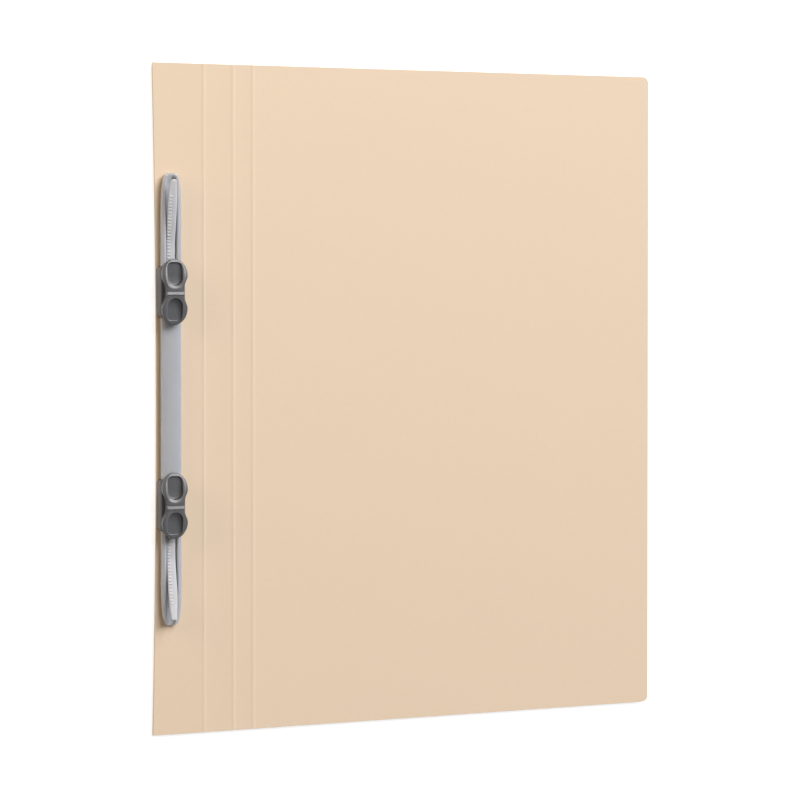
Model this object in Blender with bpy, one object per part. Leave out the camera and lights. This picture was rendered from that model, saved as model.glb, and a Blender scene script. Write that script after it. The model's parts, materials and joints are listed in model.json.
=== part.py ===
"""Two-hole report folder: two creased card covers held by a plastic prong fastener.

The folder lies on its back. X runs from the binding edge to the fore edge, Y runs up the page and
Z rises out of the front cover. The origin is under the middle of the folder, on the table.
"""

import math

import bmesh
import bpy
from mathutils import Vector

# Covers, in metres
COVER_HEIGHT = 0.307
COVER_WIDTH = 0.250
CARD_THICKNESS = 0.0006
FORE_CORNER_RADIUS = 0.003
BINDING_EDGE_BOW = 0.0018
FIRST_STRIP_WIDTH = 0.0140
SECOND_STRIP_WIDTH = 0.0095
BEAD_WIDTH = 0.0020
BEAD_HEIGHT = 0.0002

# Where the fastener sits on the covers
FASTENER_INSET = 0.0080
FASTENER_TO_CREASE = 0.0162
POST_SPACING = 0.080

# Base strip behind the back cover, and the two prongs moulded on it
BASE_THICKNESS = 0.0010
BASE_SHOULDER = 0.0027
BASE_END = 0.0100
PRONG_WIDTH = 0.0041
PRONG_THICKNESS = 0.0012
PRONG_BEND_RADIUS = 0.0015
PRONG_REACH = 0.0600
PRONG_LIFT_DEGREES = 13.0
PRONG_TIP_WIDTH = 0.0025
PRONG_TIP_LENGTH = 0.0060

# Compressor bar on the front cover
BAR_FLOOR = 0.0012
BAR_RAIL_WIDTH = 0.0022
BAR_RAIL_RISE = 0.0013
BAR_UNDERCUT = 0.0012
BAR_END_MARGIN = 0.0032
BAR_TAPER = 0.026
TROUGH_SIDE_ROOM = 0.00045
TROUGH_LEAD = 0.003
TROUGH_OVERRUN = 0.004

# Sliders that lock the prongs
SLIDER_OFFSET = 0.0085
SLIDER_RISE_UP_PAGE = 0.0005
SLIDER_LIP = 0.00065
SLIDER_CHEEK = 0.00135
SLIDER_ROOF = 0.0012
FLANGE_LENGTH = 0.0237
FLANGE_CHAMFER = 0.0016
FLANGE_SHOULDER = 0.0009
NECK_LENGTH = 0.0230
NECK_WIDTH = 0.0108
NECK_HEIGHT = 0.0009
PAD_LENGTH = 0.0300
PAD_WIDTH = 0.0118
PAD_WAIST_INSET = 0.0015
PAD_THICKNESS = 0.0043
PAD_ARCH_DROP = 0.0034
LOBE_CENTRE = 0.0076
DIMPLE_DEPTH = 0.0034
DIMPLE_SIDE_RIM = 0.0022
DIMPLE_END_RIM = 0.0014
DIMPLE_INNER_END = 0.0020
WAIST_RECESS_DEPTH = 0.0004
WAIST_RECESS_LENGTH = 0.0032
RIB_LENGTH = 0.0082
RIB_WIDTH = 0.0010
RIB_HEIGHT = 0.0008

# Clearances
SEAT_GAP = 0.0003
SLIDE_GAP = 0.0003
HINGE_SLIT = 0.0003
FLEX_GAP = 0.0004
FLEX_CLEARANCE = 0.0090
POST_CLEARANCE = 0.0011

# How finely round shapes are divided, how full their curves are, and how far cutters and picks reach
BEAD_STEPS = 4
BOW_STEPS = 16
ARC_STEPS = 6
HOLE_SIDES = 24
OUTLINE_STEPS = 12
ARCH_STEPS = 16
BOAT_POWER = 3.8
PAD_END_POWER = 2.05
WAIST_POWER = 1.4
DIMPLE_OUTER_POWER = 4.5
DIMPLE_INNER_POWER = 2.6
CUT_REACH = 0.002
PICK_REACH = 0.0001

# Places across the covers
BINDING_X = -COVER_WIDTH / 2
FASTENER_X = BINDING_X + FASTENER_INSET
MARGIN_WIDTH = FASTENER_INSET + FASTENER_TO_CREASE
CREASE_X = [BINDING_X + MARGIN_WIDTH]
CREASE_X.append(CREASE_X[0] + FIRST_STRIP_WIDTH)
CREASE_X.append(CREASE_X[1] + SECOND_STRIP_WIDTH)
PANEL_WIDTH = COVER_WIDTH - MARGIN_WIDTH - FIRST_STRIP_WIDTH - SECOND_STRIP_WIDTH

# Heights of the stack, from the table up
BACK_OUTER_Z = BASE_THICKNESS + SEAT_GAP
FRONT_OUTER_Z = BACK_OUTER_Z + 2 * CARD_THICKNESS + SEAT_GAP
BAR_BOTTOM_Z = FRONT_OUTER_Z + SEAT_GAP
PRONG_Z = BAR_BOTTOM_Z + BAR_FLOOR + SEAT_GAP + PRONG_THICKNESS / 2

# Sizes that follow from the fits
POST_Y = POST_SPACING / 2
HOLE_RADIUS = math.hypot(PRONG_WIDTH, PRONG_THICKNESS) / 2 + POST_CLEARANCE
BASE_WIDTH = PRONG_WIDTH + 2 * BASE_SHOULDER
BASE_LENGTH = POST_SPACING + 2 * BASE_END
TROUGH_WIDTH = PRONG_WIDTH + 2 * TROUGH_SIDE_ROOM
BAR_WIDTH = TROUGH_WIDTH + 2 * BAR_RAIL_WIDTH
BAR_HEIGHT = BAR_FLOOR + SEAT_GAP + PRONG_THICKNESS + BAR_RAIL_RISE
BAR_HALF_LENGTH = POST_Y + PRONG_REACH + BAR_END_MARGIN
FOOT_HEIGHT = SLIDER_LIP + SLIDE_GAP
SLIDER_Y = POST_Y + SLIDER_OFFSET
FLEX_Y = SLIDER_Y + PAD_LENGTH / 2 + FLEX_CLEARANCE
FLANGE_WIDTH = BAR_WIDTH + 2 * (SLIDE_GAP + SLIDER_CHEEK)
CHANNEL_TOP = BAR_HEIGHT + SLIDE_GAP
FLANGE_TOP = CHANNEL_TOP + SLIDER_ROOF
PAD_BOTTOM = FLANGE_TOP + NECK_HEIGHT
PAD_TOP = PAD_BOTTOM + PAD_THICKNESS


def clear_scene():
    for item in list(bpy.data.objects):
        bpy.data.objects.remove(item, do_unlink=True)


def finish(name, colour, roughness):
    """A plain surface finish."""
    made = bpy.data.materials.new(name)
    made.use_nodes = True
    shader = made.node_tree.nodes["Principled BSDF"]
    shader.inputs["Base Color"].default_value = (*colour, 1.0)
    shader.inputs["Roughness"].default_value = roughness
    shader.inputs["Metallic"].default_value = 0.0
    return made


def placed(name, mesh_builder, material=None, location=(0, 0, 0), parent=None):
    """An object made from a bmesh, with its faces turned outwards."""
    bmesh.ops.recalc_face_normals(mesh_builder, faces=mesh_builder.faces)
    mesh = bpy.data.meshes.new(name)
    mesh_builder.to_mesh(mesh)
    mesh_builder.free()
    if material:
        mesh.materials.append(material)
    item = bpy.data.objects.new(name, mesh)
    item.location = location
    item.parent = parent
    bpy.context.scene.collection.objects.link(item)
    return item


def extruded(points, direction):
    """A bmesh of a flat outline pushed along a direction."""
    shape = bmesh.new()
    corners = [shape.verts.new(point) for point in points]
    face = shape.faces.new(corners)
    pushed = bmesh.ops.extrude_face_region(shape, geom=[face])["geom"]
    moved = [part for part in pushed if isinstance(part, bmesh.types.BMVert)]
    bmesh.ops.translate(shape, verts=moved, vec=Vector(direction))
    return shape


def upright(outline, bottom, top):
    """A prism over an outline in X and Y."""
    return extruded([(x, y, bottom) for x, y in outline], (0, 0, top - bottom))


def crosswise(profile, width):
    """A prism over a profile in Y and Z, centred across X."""
    return extruded([(-width / 2, y, z) for y, z in profile], (width, 0, 0))


def lengthwise(section, length):
    """A prism over a section in X and Z, centred along Y."""
    return extruded([(x, -length / 2, z) for x, z in section], (0, length, 0))


def combine(target, other, operation):
    """Joins or cuts one object with a hidden second one, which moves with it."""
    other.parent = target
    other.hide_render = True
    other.display_type = "WIRE"
    step = target.modifiers.new(operation.title(), "BOOLEAN")
    step.operation = operation
    step.object = other
    step.solver = "EXACT"


def mirrored(half):
    """A closed outline from its right half, listed from the low end to the high end."""
    left = [(-x, y) for x, y in reversed(half) if x > 0]
    return list(half) + left


def rounded_fraction(share, power):
    """Half-width of a rounded end, from 1 at its root to 0 at its tip."""
    return max(0.0, 1 - share**power) ** (1 / power)


def rounded_end(root, length, half_width, power):
    """Right side of a rounded end that runs from its root along Y."""
    points = []
    for step in range(OUTLINE_STEPS + 1):
        angle = math.pi / 2 * step / OUTLINE_STEPS
        share = math.sin(angle)
        points.append((half_width * rounded_fraction(share, power), root + length * share))
    return points


def boat_outline(half_length, half_width):
    """Outline of a long strip whose two ends taper to a round tip."""
    upper = rounded_end(half_length - BAR_TAPER, BAR_TAPER, half_width, BOAT_POWER)
    lower = [(x, -y) for x, y in reversed(upper)]
    return mirrored(lower + upper)


def rise_of_bead(distance):
    """Height of an embossed crease at a distance from its line."""
    share = min(1.0, distance / (BEAD_WIDTH / 2))
    return BEAD_HEIGHT * (1 + math.cos(math.pi * share)) / 2


def card_section(start, end, crease_at_start, crease_at_end):
    """Section of a sheet between two edges, with its outer face up and bead crests at height 0.

    A creased edge stops half a slit short of its crease line and carries half the bead.
    """
    slit = HINGE_SLIT / 2
    reaches = [slit + (BEAD_WIDTH / 2 - slit) * step / BEAD_STEPS for step in range(BEAD_STEPS + 1)]
    tops = []
    if crease_at_start:
        tops += [(start + reach, rise_of_bead(reach)) for reach in reaches]
    else:
        tops.append((start, 0.0))
    if crease_at_end:
        tops += [(end - reach, rise_of_bead(reach)) for reach in reversed(reaches)]
    else:
        tops.append((end, 0.0))
    outer = [(x, rise - BEAD_HEIGHT) for x, rise in tops]
    inner = [(x, z - CARD_THICKNESS) for x, z in reversed(outer)]
    return outer + inner


def facing(section, up):
    """The section as it is for a cover that faces up, or turned over for one that faces down."""
    return [(x, z * up) for x, z in section]


def bow_binding_edge(shape, edge_x):
    """Draws the binding edge in towards the middle of the page."""
    long_edges = [e for e in shape.edges if abs(e.verts[0].co.y - e.verts[1].co.y) > COVER_HEIGHT / 2]
    bmesh.ops.subdivide_edges(shape, edges=long_edges, cuts=BOW_STEPS - 1, use_grid_fill=True)
    for corner in shape.verts:
        if corner.co.x < edge_x + PICK_REACH:
            share = corner.co.y / (COVER_HEIGHT / 2)
            corner.co.x += BINDING_EDGE_BOW * (1 - share**2)


def round_fore_corners(shape, edge_x):
    """Rounds the two corners of the fore edge."""
    chosen = []
    for edge in shape.edges:
        one, two = edge.verts
        across = abs(one.co.y - two.co.y) < PICK_REACH
        if across and min(one.co.x, two.co.x) > edge_x - PICK_REACH:
            chosen.append(edge)
    bmesh.ops.bevel(
        shape,
        geom=chosen,
        offset=FORE_CORNER_RADIUS,
        segments=ARC_STEPS,
        profile=0.5,
        affect="EDGES",
        material=-1,
    )


def punch_holes(margin):
    """Cuts the two round holes that the posts pass through, centred on the fastener's line."""
    for side in (1, -1):
        shape = bmesh.new()
        bmesh.ops.create_cone(
            shape,
            cap_ends=True,
            segments=HOLE_SIDES,
            radius1=HOLE_RADIUS,
            radius2=HOLE_RADIUS,
            depth=2 * (CARD_THICKNESS + BEAD_HEIGHT) + CUT_REACH,
        )
        place = (-FASTENER_TO_CREASE, side * POST_Y, 0)
        combine(margin, placed("punch", shape, location=place), "DIFFERENCE")


def build_cover(name, outer_z, up, card):
    """One cover as four panels, each hinged to the last along its crease.

    Every panel's origin is on a crease, at the crest of its bead, where the card folds.
    """
    axis_z = outer_z + up * BEAD_HEIGHT
    section = facing(card_section(-MARGIN_WIDTH, 0, False, True), up)
    shape = lengthwise(section, COVER_HEIGHT)
    bow_binding_edge(shape, -MARGIN_WIDTH)
    margin = placed(f"{name}_margin", shape, card, (CREASE_X[0], 0, axis_z))
    punch_holes(margin)
    last = margin
    offset = 0.0
    for number, width in enumerate((FIRST_STRIP_WIDTH, SECOND_STRIP_WIDTH), start=1):
        section = facing(card_section(0, width, True, True), up)
        shape = lengthwise(section, COVER_HEIGHT)
        last = placed(f"{name}_strip_{number}", shape, card, (offset, 0, 0), last)
        offset = width
    section = facing(card_section(0, PANEL_WIDTH, True, False), up)
    shape = lengthwise(section, COVER_HEIGHT)
    round_fore_corners(shape, PANEL_WIDTH)
    placed(f"{name}_panel", shape, card, (offset, 0, 0), last)


def arc(centre, radius, start, end):
    """Points of an arc in Y and Z, angles in degrees from +Y."""
    points = []
    for step in range(ARC_STEPS + 1):
        angle = math.radians(start + (end - start) * step / ARC_STEPS)
        points.append((centre[0] + radius * math.cos(angle), centre[1] + radius * math.sin(angle)))
    return points


def prong_root_profile(side):
    """Side view of a post that rises from the base strip and bends out along the bar."""
    half = PRONG_THICKNESS / 2
    foot_z = BASE_THICKNESS / 2
    end_y = FLEX_Y - FLEX_GAP / 2
    centre = (POST_Y + PRONG_BEND_RADIUS, PRONG_Z - PRONG_BEND_RADIUS)
    outer = [(POST_Y - half, foot_z)] + arc(centre, PRONG_BEND_RADIUS + half, 180, 90)
    outer.append((end_y, PRONG_Z + half))
    inner = [(end_y, PRONG_Z - half)] + arc(centre, PRONG_BEND_RADIUS - half, 90, 180)
    inner.append((POST_Y + half, foot_z))
    return [(side * y, z) for y, z in outer + inner]


def build_fastener_base(plastic):
    """The strip behind the back cover, in one piece with both posts up to where they flex."""
    half = BASE_WIDTH / 2
    upper = rounded_end(BASE_LENGTH / 2 - half, half, half, 2)
    outline = mirrored([(x, -y) for x, y in reversed(upper)] + upper)
    base = placed("fastener_base", upright(outline, 0, BASE_THICKNESS), plastic, (FASTENER_X, 0, 0))
    for side in (1, -1):
        shape = crosswise(prong_root_profile(side), PRONG_WIDTH)
        combine(base, placed("post", shape, plastic), "UNION")


def build_prong_tail(name, side, plastic):
    """The free end of a prong, sprung up out of the trough from its flex point."""
    length = POST_Y + PRONG_REACH - FLEX_Y
    half = PRONG_WIDTH / 2
    right = [
        (half, side * FLEX_GAP / 2),
        (half, side * (length - PRONG_TIP_LENGTH)),
        (PRONG_TIP_WIDTH / 2, side * length),
    ]
    outline = right + [(-x, y) for x, y in reversed(right)]
    shape = upright(outline, -PRONG_THICKNESS / 2, PRONG_THICKNESS / 2)
    tail = placed(name, shape, plastic, (FASTENER_X, side * FLEX_Y, PRONG_Z))
    tail.rotation_euler.x = side * math.radians(PRONG_LIFT_DEGREES)


def trough_outline(side):
    """Outline of the open trough from just inside its post to where it runs out of the bar's end."""
    tip = BAR_HALF_LENGTH + TROUGH_OVERRUN
    start = POST_Y - TROUGH_LEAD
    right = [(TROUGH_WIDTH / 2, start)]
    right += rounded_end(tip - BAR_TAPER, BAR_TAPER, TROUGH_WIDTH / 2, BOAT_POWER)
    return [(x, side * y) for x, y in mirrored(right)]


def slot_outline(side):
    """Outline of the slot in the trough's floor that a post comes up through."""
    half = PRONG_WIDTH / 2 + SEAT_GAP
    near = side * (POST_Y - PRONG_THICKNESS / 2 - SEAT_GAP)
    far = side * (POST_Y + PRONG_BEND_RADIUS)
    return [(-half, near), (half, near), (half, far), (-half, far)]


def build_bar(plastic):
    """The bar that presses the covers together: a narrow foot under two overhanging rails."""
    rails = upright(boat_outline(BAR_HALF_LENGTH, BAR_WIDTH / 2), FOOT_HEIGHT, BAR_HEIGHT)
    bar = placed("compressor_bar", rails, plastic, (FASTENER_X, 0, BAR_BOTTOM_Z))
    foot_outline = boat_outline(BAR_HALF_LENGTH - BAR_UNDERCUT, BAR_WIDTH / 2 - BAR_UNDERCUT)
    foot = upright(foot_outline, 0, BAR_FLOOR)
    combine(bar, placed("foot", foot, plastic), "UNION")
    for side in (1, -1):
        trough = upright(trough_outline(side), BAR_FLOOR, BAR_HEIGHT + CUT_REACH)
        combine(bar, placed("trough", trough), "DIFFERENCE")
        slot = upright(slot_outline(side), -CUT_REACH, BAR_FLOOR + CUT_REACH)
        combine(bar, placed("slot", slot), "DIFFERENCE")


def flange_shape():
    """The slider's wide foot, with cut corners and a sloping shoulder."""
    x, y, cut = FLANGE_WIDTH / 2, FLANGE_LENGTH / 2, FLANGE_CHAMFER
    right = [(x - cut, -y), (x, cut - y), (x, y - cut), (x - cut, y)]
    shape = upright(mirrored(right), 0, FLANGE_TOP)
    rim = [e for e in shape.edges if min(v.co.z for v in e.verts) > FLANGE_TOP - PICK_REACH]
    bmesh.ops.bevel(
        shape,
        geom=rim,
        offset=FLANGE_SHOULDER,
        segments=1,
        profile=0.5,
        affect="EDGES",
        material=-1,
    )
    return shape


def channel_section():
    """Section of the slider's channel: room for the rails, with lips left under them."""
    rails = BAR_WIDTH / 2 + SLIDE_GAP
    foot = BAR_WIDTH / 2 - BAR_UNDERCUT + SLIDE_GAP
    right = [(foot, -CUT_REACH), (foot, SLIDER_LIP), (rails, SLIDER_LIP), (rails, CHANNEL_TOP)]
    return mirrored(right)


def waisted_outline(width, length):
    """Figure-of-eight outline of the finger pad, or of the neck under it."""
    lobe = width / 2
    upper = []
    for step in range(OUTLINE_STEPS):
        share = step / OUTLINE_STEPS
        narrowing = PAD_WAIST_INSET * math.cos(math.pi / 2 * share**WAIST_POWER) ** 2
        upper.append((lobe - narrowing, LOBE_CENTRE * share))
    upper += rounded_end(LOBE_CENTRE, length / 2 - LOBE_CENTRE, lobe, PAD_END_POWER)
    lower = [(x, -y) for x, y in reversed(upper[1:])]
    return mirrored(lower + upper)


def dimple_outline(side):
    """Outline of a finger dimple: round at the pad's end and drawn to a point at its waist."""
    half = PAD_WIDTH / 2 - DIMPLE_SIDE_RIM
    outer_end = PAD_LENGTH / 2 - DIMPLE_END_RIM
    inward = rounded_end(0, LOBE_CENTRE - DIMPLE_INNER_END, half, DIMPLE_INNER_POWER)
    outward = rounded_end(0, outer_end - LOBE_CENTRE, half, DIMPLE_OUTER_POWER)
    right = [(x, LOBE_CENTRE - y) for x, y in reversed(inward[1:])]
    right += [(x, LOBE_CENTRE + y) for x, y in outward]
    return [(x, side * y) for x, y in mirrored(right)]


def arch_profile():
    """Side view of the room above the pad, whose top falls from its waist to its two ends."""
    reach = PAD_LENGTH / 2 + CUT_REACH
    points = []
    for step in range(ARCH_STEPS + 1):
        along = reach * (2 * step / ARCH_STEPS - 1)
        points.append((along, PAD_TOP - PAD_ARCH_DROP * (along / (PAD_LENGTH / 2)) ** 2))
    ceiling = PAD_TOP + 2 * CUT_REACH
    return points + [(reach, ceiling), (-reach, ceiling)]


def build_slider(name, side, plastic):
    """A lock that slides along the bar's rails, with two finger dimples on its arched pad."""
    place = (FASTENER_X, side * SLIDER_Y + SLIDER_RISE_UP_PAGE, BAR_BOTTOM_Z)
    slider = placed(name, flange_shape(), plastic, place)
    neck = upright(waisted_outline(NECK_WIDTH, NECK_LENGTH), CHANNEL_TOP, PAD_BOTTOM + PAD_THICKNESS / 4)
    combine(slider, placed("neck", neck, plastic), "UNION")
    pad = upright(waisted_outline(PAD_WIDTH, PAD_LENGTH), PAD_BOTTOM, PAD_TOP + CUT_REACH)
    combine(slider, placed("pad", pad, plastic), "UNION")
    arch = crosswise(arch_profile(), PAD_WIDTH + CUT_REACH)
    combine(slider, placed("arch", arch), "DIFFERENCE")
    channel = lengthwise(channel_section(), PAD_LENGTH + CUT_REACH)
    combine(slider, placed("channel", channel), "DIFFERENCE")
    for end in (1, -1):
        dimple = upright(dimple_outline(end), PAD_TOP - DIMPLE_DEPTH, PAD_TOP + CUT_REACH)
        combine(slider, placed("dimple", dimple), "DIFFERENCE")
    x, y = PAD_WIDTH / 2 + CUT_REACH, WAIST_RECESS_LENGTH / 2
    recess_floor = PAD_TOP - WAIST_RECESS_DEPTH
    recess = upright([(-x, -y), (x, -y), (x, y), (-x, y)], recess_floor, PAD_TOP + CUT_REACH)
    combine(slider, placed("recess", recess), "DIFFERENCE")
    x, y = RIB_LENGTH / 2, RIB_WIDTH / 2
    rib_outline = [(-x, -y), (x, -y), (x, y), (-x, y)]
    rib = upright(rib_outline, recess_floor - RIB_HEIGHT, recess_floor + RIB_HEIGHT)
    combine(slider, placed("rib", rib, plastic), "UNION")


def main():
    clear_scene()
    card = finish("card", (0.80, 0.65, 0.48), 0.75)
    light_plastic = finish("light_plastic", (0.47, 0.48, 0.51), 0.40)
    prong_plastic = finish("prong_plastic", (0.60, 0.60, 0.60), 0.40)
    dark_plastic = finish("dark_plastic", (0.09, 0.09, 0.10), 0.45)
    build_cover("back_cover", BACK_OUTER_Z, -1, card)
    build_cover("front_cover", FRONT_OUTER_Z, 1, card)
    build_fastener_base(prong_plastic)
    build_bar(light_plastic)
    for place, side in (("upper", 1), ("lower", -1)):
        build_prong_tail(f"{place}_prong_tail", side, prong_plastic)
        build_slider(f"{place}_slider", side, dark_plastic)


main()
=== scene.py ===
"""Models and finishes a two-hole report folder around its packed frame.

X runs from the binding edge to the fore edge, Y runs up the page and Z rises out of the front cover.
Lengths are in metres.
"""

import json
import math

import bmesh
import bpy
from bpy.props import FloatProperty, FloatVectorProperty, PointerProperty
from bpy.types import Operator, Panel, PropertyGroup
from mathutils import Matrix, Vector
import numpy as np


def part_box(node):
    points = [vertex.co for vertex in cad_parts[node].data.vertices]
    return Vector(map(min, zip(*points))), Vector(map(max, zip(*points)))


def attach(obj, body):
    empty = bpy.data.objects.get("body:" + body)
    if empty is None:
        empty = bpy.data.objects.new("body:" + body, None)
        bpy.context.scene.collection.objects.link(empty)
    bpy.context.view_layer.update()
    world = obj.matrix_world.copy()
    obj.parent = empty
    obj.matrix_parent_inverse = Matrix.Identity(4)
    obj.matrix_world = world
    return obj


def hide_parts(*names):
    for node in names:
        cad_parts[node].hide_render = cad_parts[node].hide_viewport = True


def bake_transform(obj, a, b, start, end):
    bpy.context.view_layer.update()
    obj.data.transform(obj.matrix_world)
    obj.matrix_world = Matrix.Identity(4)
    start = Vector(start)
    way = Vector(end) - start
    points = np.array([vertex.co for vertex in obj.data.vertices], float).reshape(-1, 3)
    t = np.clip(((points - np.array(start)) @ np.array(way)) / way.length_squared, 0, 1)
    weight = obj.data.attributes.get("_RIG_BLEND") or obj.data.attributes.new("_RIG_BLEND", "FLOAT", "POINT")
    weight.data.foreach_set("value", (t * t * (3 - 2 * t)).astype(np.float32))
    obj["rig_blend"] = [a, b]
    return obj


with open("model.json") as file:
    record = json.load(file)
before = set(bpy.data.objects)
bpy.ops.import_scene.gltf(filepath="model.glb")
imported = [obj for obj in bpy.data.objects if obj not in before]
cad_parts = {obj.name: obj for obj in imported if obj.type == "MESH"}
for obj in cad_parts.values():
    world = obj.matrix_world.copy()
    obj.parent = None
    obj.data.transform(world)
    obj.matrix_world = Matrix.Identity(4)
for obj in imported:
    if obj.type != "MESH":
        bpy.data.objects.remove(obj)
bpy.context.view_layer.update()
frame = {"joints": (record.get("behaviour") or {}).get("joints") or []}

bl_info = {
    "name": "Two-hole Report Folder",
    "version": (1, 0, 0),
    "blender": (4, 5, 0),
    "location": "3D View > Sidebar > Folder",
    "description": "Models and finishes the card covers and the plastic fastener of a report folder",
    "category": "Mesh",
}

# Places that come from the frame
JOINTS = {joint["name"]: joint for joint in frame["joints"]}
CREASES = [JOINTS[f"front_crease_{number}"]["pos_m"][0] for number in (1, 2, 3)]
FASTENER_X, FLEX_Y, PRONG_Z = JOINTS["upper_prong_flex"]["pos_m"]
BAR_LOW, BAR_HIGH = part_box("compressor_bar")
SLIDER_LOW, SLIDER_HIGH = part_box("upper_slider")
COVER_LOW, COVER_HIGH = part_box("front_cover_margin")
BINDING_X = COVER_LOW.x
FORE_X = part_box("front_cover_panel")[1].x
PAGE_HALF = COVER_HIGH.y

# How finely the shapes are divided, and how close two points count as one
BEAD_STEPS = 14
PAGE_ROWS = 24
HOLE_SIDES = 32
CORNER_STEPS = 8
BEND_STEPS = 10
TIP_STEPS = 14
BAR_TIP_STEPS = 28
ROUND_STEPS = 4
CUT_STEPS = 2
EDGE_STEPS = 3
LOBE_STEPS = 26
SIDE_STEPS = 14
WAIST_STEPS = 12
STRIP_STEPS = 4
DIMPLE_RINGS = 16
RIM_RINGS = 12
SLOPE_RINGS = 5
SAME = 1e-6

# Angles in degrees past which an edge is rounded, on cut strips and on mouldings, or shaded as sharp
CUT_ANGLE = 60
MOULDED_ANGLE = 30
SHARP_ANGLE = 35
SHARP_CARD_ANGLE = 20

# How worn some places are, where 1 is fully worn, and what is added to the noise that breaks up the wear
BEAD_WEAR = 0.25
RIB_WEAR = 0.6
FOOT_WEAR = 0.5
WEAR_LIFT = 0.35

# How deep light spreads in milky plastic, and the sockets of a Mix node that take and give colours
MILKY_DEPTH = 0.003
MIX_FIRST, MIX_SECOND, MIX_RESULT = 6, 7, 2

# Half of the square that a hole is cut out of, in hole radii
HOLE_ROOM = 1.5

# Length of the curve that narrows a prong, in lengths of the taper, so that it still narrows at its end
TAPER_REACH = 1.5

# Length of the bend where a prong flexes, and reach of its blend to each side, in thicknesses of the prong
FLEX_SPAN = 2

# Shares that keep the bar's section whole where it narrows, and the share of its taper left off at the tip
LEAST_FOOT = 0.55
LEAST_RADIUS = 0.1
LEAST_RAIL = 0.08
SLOT_IN_FOOT = 0.7
SLOT_IN_TROUGH = 0.8
INNER_ROOM = 1.1
TIP_GAP = 0.001

# Powers of the pad's curves, across and along it where there are two
PAD_END_POWERS = (2.05, 2.05)
DIMPLE_END_POWERS = (4.0, 4.0)
DIMPLE_POINT_POWERS = (1.7, 3.0)
WAIST_POWER = 1.4
FLOOR_POWER = 0.8
SLOPE_POWER = 1.15
SHOULDER_POWER = 1.5
RING_POWER = 2.6

# Where the slope into a dimple and the fall of the pad's shoulder start and stop changing
POINT_ZONE = (0.1, 0.7)
END_ZONE = (0.5, 1.0)
SHOULDER_ZONE = (0.7, 1.0)

# Share of the slope that is lost at a dimple's outer end, and the largest share of a rim that it takes up
END_LOSS = 0.85
WIDEST_SLOPE = 0.95

# Size of a dimple's first ring against its outline, and rounding of the rib against its width
DIMPLE_SEED = 0.01
RIB_SOFTNESS = 0.16


def length(name, description, default):
    """A size that a user can change."""
    return FloatProperty(
        name=name, description=description, default=default, min=0.0, precision=5, unit="LENGTH"
    )


def share(name, description, default):
    """A plain number that a user can change."""
    return FloatProperty(name=name, description=description, default=default, min=0.0, precision=3)


def colour(name, description, default):
    """A colour that a user can change."""
    return FloatVectorProperty(
        name=name, description=description, default=default, min=0.0, max=1.0, size=3, subtype="COLOR"
    )


def point(name, description, default):
    """A place that a user can change."""
    return FloatVectorProperty(
        name=name,
        description=description,
        default=default,
        size=3,
        precision=4,
        subtype="TRANSLATION",
        unit="LENGTH",
    )


class FolderCovers(PropertyGroup):
    """The two sheets of creased card."""

    card_thickness: length("Card thickness", "Thickness of one sheet of card", 0.0006)
    bead_width: length("Bead width", "Width of the embossed bead along a crease", 0.0025)
    bead_height: length("Bead height", "How far a bead stands out of the card", 0.00019)
    binding_bow: length("Binding bow", "How far the binding edge is drawn in at mid-page", 0.0018)
    fore_corner: length("Fore corner", "Radius of the two corners at the fore edge", 0.0030)
    hole_radius: length("Hole radius", "Radius of the punched holes", 0.0032)
    cut_softness: length("Cut softness", "How far the cut edges of the card are rounded", 0.00010)
    card_colour: colour("Card colour", "Colour of the buff card", (0.788, 0.621, 0.458))
    cut_colour: colour("Cut colour", "Colour of the bare fibres at a cut edge", (0.84, 0.70, 0.54))


class FolderProngs(PropertyGroup):
    """The base strip and the two toothed prongs."""

    base_thickness: length("Base thickness", "Thickness of the strip behind the back cover", 0.0010)
    base_width: length("Base width", "Width of the strip behind the back cover", 0.0095)
    base_length: length("Base length", "Length of the strip behind the back cover", 0.100)
    post_spacing: length("Post spacing", "Distance between the two posts", 0.080)
    width: length("Prong width", "Width of a prong", 0.0040)
    lean: length("Lean", "How far a prong lies to the left in its slot", 0.00020)
    thickness: length("Prong thickness", "Thickness of a prong", 0.0012)
    bend_radius: length("Bend radius", "Radius of the bend at the top of a post", 0.0015)
    tail_length: length("Tail length", "Length of the free end beyond the point where it flexes", 0.0281)
    lift: FloatProperty(
        name="Lift",
        description="How far the free end springs up",
        default=math.radians(13.0),
        subtype="ANGLE",
    )
    tip_length: length("Tip length", "Length of the smooth tip beyond the teeth", 0.0066)
    taper: length("Taper", "Length over which a prong narrows to its end", 0.0140)
    tip_width: length("Tip width", "Width of a prong at its very end", 0.0023)
    tip_corner: length("Tip corner", "Radius of the corners at the very end", 0.0006)
    tooth_pitch: length("Tooth pitch", "Distance from one tooth to the next", 0.0015)
    tooth_gap: length("Tooth gap", "Plain length between two teeth", 0.00055)
    tooth_height: length("Tooth height", "How far a tooth stands up", 0.00035)
    tooth_reach: length("Tooth reach", "How far the teeth reach in from the left edge", 0.0017)
    plastic_colour: colour("Prong colour", "Colour of the prongs and their base", (0.585, 0.59, 0.62))


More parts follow.
